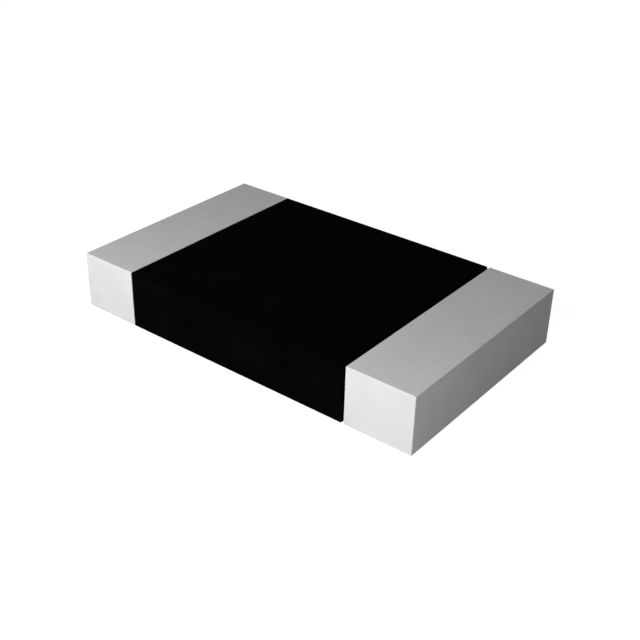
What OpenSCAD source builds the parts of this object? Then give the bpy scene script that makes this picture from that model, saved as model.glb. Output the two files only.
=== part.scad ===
// Surface-mount chip resistor of the metal-plate kind, lying flat on its solder faces.
// Millimetres, +Z up. The origin is under the middle of the chip, on the plane that it rests on.
// X runs from the left terminal to the right one, and -Y is the long side at the front.

/* [Chip outline] */
// Length over both terminals
chip_l = 2; // [1.8:0.05:3.2]
// Width across the long sides
chip_w = 1.2; // [0.8:0.05:1.6]
// Height from the solder faces to the top
chip_h = 0.3; // [0.26:0.01:0.6]
// Radius along the outer edges
edge_r = 0.004; // [0.002:0.001:0.015]

/* [Terminals] */
// Length of the left terminal along the chip
band_left = 0.33; // [0.15:0.005:0.45]
// Length of the right terminal along the chip
band_right = 0.355; // [0.15:0.005:0.45]

/* [Plated layers] */
// Thickness of the outer tin
tin_t = 0.012; // [0.005:0.001:0.02]
// How far the tin runs past the nickel, onto the chamfer of the body
tin_lap = 0.004; // [0.001:0.001:0.01]
// Thickness of the nickel under the tin
nickel_t = 0.01; // [0.003:0.001:0.015]
// Thickness of the copper on the ends of the plate
copper_t = 0.038; // [0.02:0.001:0.07]

/* [Moulded body] */
// Chamfer round the left end of the body, where it meets the terminal
rim_left = 0.004; // [0.002:0.001:0.025]
// Chamfer round the right end of the body, which leaves a fine groove at the terminal
rim_right = 0.018; // [0.002:0.001:0.025]

/* [Resistance plate] */
// Number of trim slots, cut in turn from the front and the back edge
trim_slots = 3; // [0:1:4]
// Width of a trim slot
slot_w = 0.07; // [0.04:0.01:0.1]
// Width of plate that carries the current past each slot
neck_w = 0.42; // [0.2:0.02:0.6]

/* [Hidden] */
$fn = 48;

// Depth of each surface below the outside of the chip
nickel_in = tin_t;
copper_in = nickel_in + nickel_t;
plate_in = copper_in + copper_t;

// Planes where the terminals begin on the outside, and where the body ends under their tin
joint_left = band_left - chip_l / 2;
joint_right = chip_l / 2 - band_right;
body_left = joint_left - tin_lap;
body_right = joint_right + tin_lap;

// The part of the plate between the terminals, along which the slots are spread evenly
free_l = joint_right - joint_left;
slot_pitch = free_l / (trim_slots + 1);
plate_w = chip_w - 2 * plate_in;
slot_reach = plate_w - neck_w;

// How far a cutting shape runs past what it cuts
over = 0.05;

// A plain block, as deep below every outside face of the chip as inset says
module block(inset) {
    translate([inset - chip_l / 2, inset - chip_w / 2, inset])
        cube([chip_l - 2 * inset, chip_w - 2 * inset, chip_h - 2 * inset]);
}

// A rectangle round the origin with round corners
module round_rect(a, b, r) {
    square([a - 2 * r, b], center = true);
    square([a, b - 2 * r], center = true);
    for (x = [r - a / 2, a / 2 - r], y = [r - b / 2, b / 2 - r])
        translate([x, y])
            circle(r);
}

// Outline of the body, b across. The chamfers at its ends go on under the tin
module body_outline(b) {
    left = b / 2 - rim_left - tin_lap;
    right = b / 2 - rim_right - tin_lap;
    polygon([[body_left, -left], [joint_left + rim_left, -b / 2],
             [joint_right - rim_right, -b / 2], [body_right, -right],
             [body_right, right], [joint_right - rim_right, b / 2],
             [joint_left + rim_left, b / 2], [body_left, left]]);
}

// Lays a drawing of the front of the chip upright and gives it the depth d
module from_front(d) {
    translate([0, 0, chip_h / 2])
        rotate([90, 0, 0])
            linear_extrude(height = d, center = true)
                children();
}

// Outside of the whole chip: its plan, front and end outlines in one another
module chip_outside() {
    intersection() {
        linear_extrude(height = chip_h)
            round_rect(chip_l, chip_w, edge_r);
        from_front(chip_w)
            round_rect(chip_l, chip_h, edge_r);
        translate([0, 0, chip_h / 2])
            rotate([90, 0, 90])
                linear_extrude(height = chip_l, center = true)
                    round_rect(chip_w, chip_h, edge_r);
    }
}

// Everything from the end of the chip to the joint, or to a plane that is short of it by a lap
module left_end(lap = 0) {
    translate([-chip_l / 2 - over, -chip_w / 2 - over, -over])
        cube([band_left - lap + over, chip_w + 2 * over, chip_h + 2 * over]);
}

module right_end(lap = 0) {
    translate([joint_right + lap, -chip_w / 2 - over, -over])
        cube([band_right - lap + over, chip_w + 2 * over, chip_h + 2 * over]);
}

// The space that the body fills between the terminals, with the plate still in it
module body_space() {
    intersection() {
        chip_outside();
        linear_extrude(height = chip_h)
            body_outline(chip_w);
        from_front(chip_w)
            body_outline(chip_h);
    }
}

// One plated layer over the whole chip, from an outer block down to an inner one
module nickel_layer() {
    difference() {
        block(nickel_in);
        block(copper_in);
    }
}

module copper_layer() {
    difference() {
        block(copper_in);
        block(plate_in);
    }
}

// One trim slot with a round bottom, cut from the front edge of the plate
module trim_slot() {
    translate([-slot_w / 2, -plate_w / 2 - over, plate_in - over])
        cube([slot_w, slot_reach - slot_w / 2 + over, chip_h - 2 * plate_in + 2 * over]);
    translate([0, slot_reach - slot_w / 2 - plate_w / 2, plate_in - over])
        cylinder(d = slot_w, h = chip_h - 2 * plate_in + 2 * over);
}

// Alloy plate from end to end of the chip, whose slots set its resistance
module resistance_plate() {
    color("Peru")
        difference() {
            block(plate_in);
            if (trim_slots > 0)
                for (i = [1 : trim_slots])
                    translate([joint_left + i * slot_pitch, 0, 0])
                        rotate([0, 0, i % 2 == 0 ? 180 : 0])
                            trim_slot();
        }
}

// Black resin moulded round the middle of the plate, into its slots and flush with the terminals
module moulded_body() {
    color("DimGray")
        difference() {
            body_space();
            resistance_plate();
        }
}

// Thick copper over five sides of each end of the plate
module copper_electrode_left() {
    color("Chocolate")
        intersection() {
            copper_layer();
            left_end(tin_lap);
        }
}

module copper_electrode_right() {
    color("Chocolate")
        intersection() {
            copper_layer();
            right_end(tin_lap);
        }
}

// Thin nickel that keeps the copper out of the solder
module nickel_barrier_left() {
    color("DarkKhaki")
        intersection() {
            nickel_layer();
            left_end(tin_lap);
        }
}

module nickel_barrier_right() {
    color("DarkKhaki")
        intersection() {
            nickel_layer();
            right_end(tin_lap);
        }
}

// Matte tin on the outside, which takes the solder. It covers the end of the nickel at the joint
module tin_plating_left() {
    color("Silver")
        difference() {
            intersection() {
                chip_outside();
                left_end();
            }
            intersection() {
                block(nickel_in);
                left_end(tin_lap);
            }
            body_space();
        }
}

module tin_plating_right() {
    color("Silver")
        difference() {
            intersection() {
                chip_outside();
                right_end();
            }
            intersection() {
                block(nickel_in);
                right_end(tin_lap);
            }
            body_space();
        }
}

resistance_plate();
moulded_body();
copper_electrode_left();
copper_electrode_right();
nickel_barrier_left();
nickel_barrier_right();
tin_plating_left();
tin_plating_right();
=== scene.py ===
"""Chip resistor on a white table: matte tin terminals on a black moulded body, in soft light.

The light comes from the front. Lengths are in millimetres where a name doesn't say otherwise.
"""
import math

import bpy
from mathutils import Matrix, Vector


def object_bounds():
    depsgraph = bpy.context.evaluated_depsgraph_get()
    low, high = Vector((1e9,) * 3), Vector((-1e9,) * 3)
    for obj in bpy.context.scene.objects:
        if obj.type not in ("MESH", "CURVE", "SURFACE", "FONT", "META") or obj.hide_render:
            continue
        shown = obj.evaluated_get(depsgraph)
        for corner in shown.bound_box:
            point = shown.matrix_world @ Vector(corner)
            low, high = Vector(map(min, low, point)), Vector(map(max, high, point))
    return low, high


MM = 0.001
MICROMETRE = 1e-6

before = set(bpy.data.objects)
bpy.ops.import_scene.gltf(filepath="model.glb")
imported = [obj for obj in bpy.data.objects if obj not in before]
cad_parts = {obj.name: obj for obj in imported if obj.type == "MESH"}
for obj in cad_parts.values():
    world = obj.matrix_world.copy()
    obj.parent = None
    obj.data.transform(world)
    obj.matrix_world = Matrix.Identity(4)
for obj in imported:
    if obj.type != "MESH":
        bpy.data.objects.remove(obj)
cad_lo, cad_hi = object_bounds()
HALF = (cad_hi - cad_lo) / 2 / MM
MIDDLE = Vector((0.0, 0.0, HALF.z))
scene = bpy.context.scene
scene.view_settings.view_transform = "Standard"


class Nodes:
    """A short way to write a node tree.

    Each call adds a node and returns its first output, or the one that is named.
    """

    # Most values of a noise lie between these two
    NOISE_LOW, NOISE_HIGH = 0.3, 0.7

    def __init__(self, tree):
        self.tree = tree
        tree.nodes.clear()

    def put(self, value, socket):
        if isinstance(value, bpy.types.NodeSocket):
            self.tree.links.new(value, socket)
        else:
            socket.default_value = value

    def add(self, kind, inputs=None, out=0, **props):
        node = self.tree.nodes.new(kind)
        for key, value in props.items():
            setattr(node, key, value)
        for key, value in (inputs or {}).items():
            self.put(value, node.inputs[key])
        return node.outputs[out] if node.outputs else None

    def math(self, op, a, b=0.0):
        return self.add("ShaderNodeMath", {0: a, 1: b}, operation=op)

    def fit(self, value, lo, hi, to_lo, to_hi, smooth=False):
        return self.add(
            "ShaderNodeMapRange",
            {"Value": value, "From Min": lo, "From Max": hi, "To Min": to_lo, "To Max": to_hi},
            interpolation_type="SMOOTHSTEP" if smooth else "LINEAR",
        )

    def spread(self, noise, to_lo, to_hi):
        return self.fit(noise, self.NOISE_LOW, self.NOISE_HIGH, to_lo, to_hi)

    def mix(self, factor, a, b):
        node = self.tree.nodes.new("ShaderNodeMix")
        node.data_type = "RGBA"
        factor_in, a_in, b_in = node.inputs[0], node.inputs[6], node.inputs[7]
        self.put(factor, factor_in)
        self.put(a, a_in)
        self.put(b, b_in)
        return node.outputs[2]

    def millimetres(self):
        """Position on the object in millimetres, the same on every piece."""
        place = self.add("ShaderNodeTexCoord", out="Object")
        return self.add("ShaderNodeVectorMath", {0: place, "Scale": 1 / MM}, operation="SCALE")

    def noise(self, vector, per_mm, detail, rough):
        return self.add(
            "ShaderNodeTexNoise",
            {"Vector": vector, "Scale": per_mm, "Detail": detail, "Roughness": rough},
        )

    def cells(self, vector, per_mm):
        """Distance to the middle of the nearest of many scattered cells."""
        inputs = {"Vector": vector, "Scale": per_mm, "Randomness": 1.0}
        return self.add("ShaderNodeTexVoronoi", inputs, feature="F1")

    def bump(self, height, micrometres):
        inputs = {"Height": height, "Distance": micrometres * MICROMETRE, "Strength": 1.0}
        return self.add("ShaderNodeBump", inputs)

    def surface(self, **inputs):
        inputs = {name.replace("_", " "): value for name, value in inputs.items()}
        shader = self.add("ShaderNodeBsdfPrincipled", inputs)
        self.add("ShaderNodeOutputMaterial", {"Surface": shader})

    def near_edge(self, vector, reach):
        """1 on the outer edges of the chip, falling to 0 at this many millimetres from them."""
        part = self.tree.nodes.new("ShaderNodeSeparateXYZ")
        self.tree.links.new(vector, part.inputs[0])
        along, across, up = part.outputs
        off_middle = (along, across, self.math("SUBTRACT", up, MIDDLE.z))
        a, b, c = (
            self.math("SUBTRACT", half, self.math("ABSOLUTE", off))
            for half, off in zip(HALF, off_middle)
        )
        # An edge is where two of the three depths below the faces are small
        low = self.math("MINIMUM", a, b)
        high = self.math("MAXIMUM", a, b)
        second = self.math("MAXIMUM", low, self.math("MINIMUM", high, c))
        return self.fit(second, 0.0, reach, 1.0, 0.0, smooth=True)


def material(name):
    made = bpy.data.materials.new(name)
    made.use_nodes = True
    return made, Nodes(made.node_tree)


def colour(red, green, blue):
    return (red, green, blue, 1.0)


def grey(level):
    return colour(level, level, level)


def matte_tin():
    """Electroplated matte tin: fine grains, faint clouding, smoother edges with a painted highlight
    along them.
    """
    made, n = material("matte_tin")
    # The last of these greys is a painted highlight for the outer edges.
    dull, pale, hollow, painted_edge_grey = grey(0.592), grey(0.632), grey(0.52), grey(0.70)
    hollow_share = painted_highlight_share = 0.25
    smoother_edge = -0.12
    cell_depth = -0.6
    at = n.millimetres()
    cloud = n.noise(at, per_mm=7.0, detail=3.0, rough=0.55)
    grain = n.noise(at, per_mm=150.0, detail=3.0, rough=0.6)
    cells = n.cells(at, per_mm=60.0)
    edge = n.near_edge(at, reach=0.012)
    base = n.mix(n.spread(cloud, 0.0, 1.0), dull, pale)
    base = n.mix(n.spread(grain, hollow_share, 0.0), base, hollow)
    # Painted highlight: the tin is lighter along the chip's outer edges.
    base = n.mix(n.math("MULTIPLY", edge, painted_highlight_share), base, painted_edge_grey)
    rough = n.math("ADD", n.spread(grain, 0.50, 0.62), n.math("MULTIPLY", edge, smoother_edge))
    height = n.math("ADD", grain, n.math("MULTIPLY", cells, cell_depth))
    n.surface(
        Base_Color=base,
        Roughness=rough,
        Specular_IOR_Level=0.07,
        Normal=n.bump(height, micrometres=0.25),
    )
    return made


def black_epoxy():
    """Black moulding compound: the mould's fine matte texture and a few specks of filler."""
    made, n = material("black_epoxy")
    dark, light, filler = grey(0.0009), grey(0.0018), grey(0.008)
    speck_core, speck_rim, speck_share = 0.06, 0.14, 0.35
    at = n.millimetres()
    cloud = n.noise(at, per_mm=5.0, detail=3.0, rough=0.55)
    texture = n.noise(at, per_mm=55.0, detail=4.0, rough=0.6)
    specks = n.cells(at, per_mm=38.0)
    base = n.mix(n.spread(cloud, 0.0, 1.0), dark, light)
    base = n.mix(n.fit(specks, speck_core, speck_rim, speck_share, 0.0), base, filler)
    n.surface(
        Base_Color=base,
        Roughness=n.spread(texture, 0.62, 0.80),
        Specular_IOR_Level=0.001,
        Normal=n.bump(texture, micrometres=1.2),
    )
    return made


def plated(name, dark, light, grain_per_mm, smoothest, roughest):
    """A plated inner layer: even metal with fine grain and slow clouding."""
    made, n = material(name)
    at = n.millimetres()
    cloud = n.noise(at, per_mm=8.0, detail=3.0, rough=0.55)
    grain = n.noise(at, per_mm=grain_per_mm, detail=3.0, rough=0.6)
    n.surface(
        Base_Color=n.mix(n.spread(cloud, 0.0, 1.0), dark, light),
        Metallic=1.0,
        Roughness=n.spread(grain, smoothest, roughest),
        Normal=n.bump(grain, micrometres=0.3),
    )
    return made


def rolled_alloy():
    """Resistance alloy from a rolling mill: brownish grey, with streaks along the strip."""
    made, n = material("resistance_alloy")
    dark, light, patch = colour(0.36, 0.25, 0.17), colour(0.50, 0.36, 0.26), colour(0.42, 0.27, 0.20)
    patch_from, patch_share = 0.4, 0.3
    streaks_per_mm = (1.2, 60.0, 60.0)
    at = n.millimetres()
    along = n.add("ShaderNodeVectorMath", {0: at, 1: streaks_per_mm}, operation="MULTIPLY")
    streak = n.noise(along, per_mm=1.0, detail=4.0, rough=0.6)
    cloud = n.noise(at, per_mm=4.0, detail=2.0, rough=0.5)
    base = n.mix(n.spread(streak, 0.0, 1.0), dark, light)
    base = n.mix(n.fit(cloud, patch_from, n.NOISE_HIGH, 0.0, patch_share), base, patch)
    n.surface(
        Base_Color=base,
        Metallic=1.0,
        Roughness=n.spread(streak, 0.28, 0.45),
        Normal=n.bump(streak, micrometres=0.4),
    )
    return made


def finish_pieces():
    tin = matte_tin()
    copper = plated(
        "copper",
        dark=colour(0.60, 0.27, 0.16),
        light=colour(0.70, 0.34, 0.21),
        grain_per_mm=90.0,
        smoothest=0.30,
        roughest=0.45,
    )
    nickel = plated(
        "nickel",
        dark=colour(0.50, 0.47, 0.41),
        light=colour(0.57, 0.54, 0.48),
        grain_per_mm=120.0,
        smoothest=0.26,
        roughest=0.38,
    )
    finishes = {"resistance_plate": rolled_alloy(), "moulded_body": black_epoxy()}
    for side in ("left", "right"):
        finishes[f"copper_electrode_{side}"] = copper
        finishes[f"nickel_barrier_{side}"] = nickel
        finishes[f"tin_plating_{side}"] = tin
    for name, finish in finishes.items():
        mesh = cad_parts[name].data
        for slot in range(len(mesh.materials)):
            mesh.materials[slot] = finish


def seen_directly(n):
    """1 for a ray from the camera, or one that a shiny or clear surface sends on."""
    path = n.tree.nodes.new("ShaderNodeLightPath")
    seen = n.math("MAXIMUM", path.outputs["Is Camera Ray"], path.outputs["Is Glossy Ray"])
    return n.math("MAXIMUM", seen, path.outputs["Is Transmission Ray"])


def floor(half_width, drop, level, shade_to, white_from, white_near):
    """A table that looks white, with a little less glow near the chip so that its shadow shows."""
    corners = [(-1, -1), (1, -1), (1, 1), (-1, 1)]
    mesh = bpy.data.meshes.new("floor")
    mesh.from_pydata(
        [(x * half_width * MM, y * half_width * MM, -drop * MM) for x, y in corners],
        [],
        [(0, 1, 2, 3)],
    )
    table = bpy.data.objects.new("floor", mesh)
    scene.collection.objects.link(table)
    made, n = material("white_table")
    cloth = n.add("ShaderNodeBsdfDiffuse", {"Color": grey(level)})
    away = n.add("ShaderNodeVectorMath", {0: n.millimetres()}, out="Value", operation="LENGTH")
    white = n.fit(away, shade_to, white_from, white_near, 1.0, smooth=True)
    strength = n.math("MULTIPLY", seen_directly(n), white)
    glow = n.add("ShaderNodeEmission", {"Color": grey(1.0), "Strength": strength})
    both = n.add("ShaderNodeAddShader", {0: cloth, 1: glow})
    n.add("ShaderNodeOutputMaterial", {"Surface": both})
    mesh.materials.append(made)


def sky(level):
    """An even dim light from all around, which looks white."""
    world = bpy.data.worlds.new("studio")
    world.use_nodes = True
    scene.world = world
    n = Nodes(world.node_tree)
    strength = n.fit(seen_directly(n), 0.0, 1.0, level, 1.0)
    light = n.add("ShaderNodeBackground", {"Color": grey(1.0), "Strength": strength})
    n.add("ShaderNodeOutputWorld", {"Surface": light})


def softbox(name, place, wide, tall, watts):
    """A rectangular lamp that faces the middle of the chip, and that no picture shows."""
    data = bpy.data.lights.new(name, "AREA")
    data.shape = "RECTANGLE"
    data.size, data.size_y = wide * MM, tall * MM
    data.energy = watts
    lamp = bpy.data.objects.new(name, data)
    scene.collection.objects.link(lamp)
    lamp.location = Vector(place) * MM
    lamp.rotation_mode = "QUATERNION"
    lamp.rotation_quaternion = (MIDDLE - Vector(place)).to_track_quat("-Z", "Y")
    lamp.visible_camera = False
    lamp.visible_glossy = False


def camera(azimuth, elevation, roll, target, distance, focal_px, centre_px):
    """A camera in degrees, millimetres and pixels of the square picture.

    Azimuth 0 looks along +Y. centre_px is the pixel that the camera points at.
    """
    frame_px = 640
    data = bpy.data.cameras.new("camera")
    cam = bpy.data.objects.new("camera", data)
    scene.collection.objects.link(cam)
    a, e, r = (math.radians(angle) for angle in (azimuth, elevation, roll))
    back = Vector((math.sin(a) * math.cos(e), -math.cos(a) * math.cos(e), math.sin(e)))
    level = Vector((math.cos(a), math.sin(a), 0.0))
    upright = back.cross(level)
    right = level * math.cos(r) + upright * math.sin(r)
    up = upright * math.cos(r) - level * math.sin(r)
    turn = Matrix((right, up, back)).transposed()
    place = (Vector(target) + back * distance) * MM
    cam.matrix_world = Matrix.Translation(place) @ turn.to_4x4()
    data.sensor_width = 36.0
    data.lens = focal_px * data.sensor_width / frame_px
    data.shift_x = (frame_px / 2 - centre_px[0]) / frame_px
    data.shift_y = (centre_px[1] - frame_px / 2) / frame_px
    data.clip_start, data.clip_end = 0.05 * MM, 500 * MM
    scene.camera = cam


finish_pieces()
floor(half_width=60.0, drop=0.001, level=0.28, shade_to=1.4, white_from=2.6, white_near=0.9)
sky(level=0.05)
softbox("key", place=(0.02, -2.7, 1.41), wide=7.2, tall=2.58, watts=1.84e-4)
softbox("fill", place=(-0.2, 6.0, 1.5), wide=3.2, tall=2.4, watts=1.8e-4)
camera(
    azimuth=37.9455,
    elevation=30.1764,
    roll=1.1947,
    target=(-0.0251, 0.0199, 0.0),
    distance=5.3528,
    focal_px=1048.16,
    centre_px=(312.0, 320.0),
)
